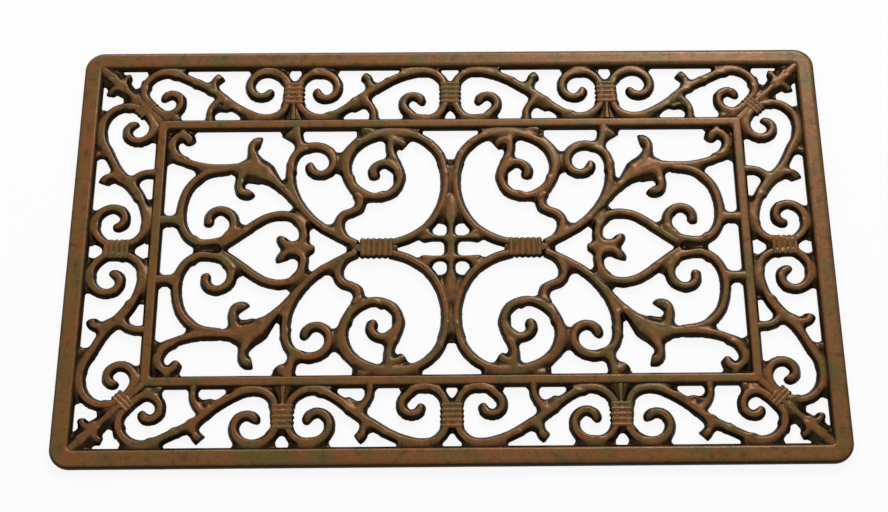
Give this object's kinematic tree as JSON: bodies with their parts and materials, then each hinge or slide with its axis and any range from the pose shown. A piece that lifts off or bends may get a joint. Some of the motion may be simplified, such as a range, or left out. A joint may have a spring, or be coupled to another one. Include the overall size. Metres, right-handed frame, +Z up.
{
  "type": "door mat",
  "caption": "Rectangular openwork cast iron door mat: scroll ornament inside a plain rim and an inner rail, standing on rubber studs.",
  "frame": {"origin": "on the floor under the middle of the mat", "axes": "+X along the long side to the right, +Y along the short side to the back, +Z up out of the worn face"},
  "size_m": [0.762, 0.457, 0.01],
  "materials": {
    "cast_iron": "rough rust-brown patina, brighter on the worn flat faces",
    "rubber": "matt"
  },
  "bodies": {
    "root": {"outer_rim": "cast_iron", "inner_rail": "cast_iron", "middle_scroll_back_right": "cast_iron", "middle_scroll_back_left": "cast_iron", "middle_scroll_front_left": "cast_iron", "middle_scroll_front_right": "cast_iron", "corner_scroll_back_right": "cast_iron", "corner_scroll_back_left": "cast_iron", "corner_scroll_front_left": "cast_iron", "corner_scroll_front_right": "cast_iron", "side_scroll_back_right": "cast_iron", "side_scroll_back_left": "cast_iron", "side_scroll_front_left": "cast_iron", "side_scroll_front_right": "cast_iron", "corner_finial_back_right": "cast_iron", "corner_finial_back_left": "cast_iron", "corner_finial_front_left": "cast_iron", "corner_finial_front_right": "cast_iron", "ring_scroll_back_right": "cast_iron", "ring_scroll_back_left": "cast_iron", "ring_scroll_front_left": "cast_iron", "ring_scroll_front_right": "cast_iron", "arch_scroll_back_right": "cast_iron", "arch_scroll_back_left": "cast_iron", "arch_scroll_front_left": "cast_iron", "arch_scroll_front_right": "cast_iron", "tulip_branch_back_right": "cast_iron", "tulip_branch_back_left": "cast_iron", "tulip_branch_front_left": "cast_iron", "tulip_branch_front_right": "cast_iron", "heart_scroll_back_right": "cast_iron", "heart_scroll_back_left": "cast_iron", "heart_scroll_front_left": "cast_iron", "heart_scroll_front_right": "cast_iron", "bay_collar_back_right": "cast_iron", "bay_collar_back_left": "cast_iron", "bay_collar_front_left": "cast_iron", "bay_collar_front_right": "cast_iron", "corner_collar_back_right": "cast_iron", "corner_collar_back_left": "cast_iron", "corner_collar_front_left": "cast_iron", "corner_collar_front_right": "cast_iron", "mid_collar_back": "cast_iron", "mid_collar_front": "cast_iron", "side_collar_right": "cast_iron", "centre_collar_right": "cast_iron", "trefoil_right": "cast_iron", "side_collar_left": "cast_iron", "centre_collar_left": "cast_iron", "trefoil_left": "cast_iron", "centre_spine": "cast_iron", "rubber_stud_front_left": "rubber", "rubber_stud_front_middle": "rubber", "rubber_stud_front_right": "rubber", "rubber_stud_back_left": "rubber", "rubber_stud_back_middle": "rubber", "rubber_stud_back_right": "rubber"}
  },
  "joints": []
}
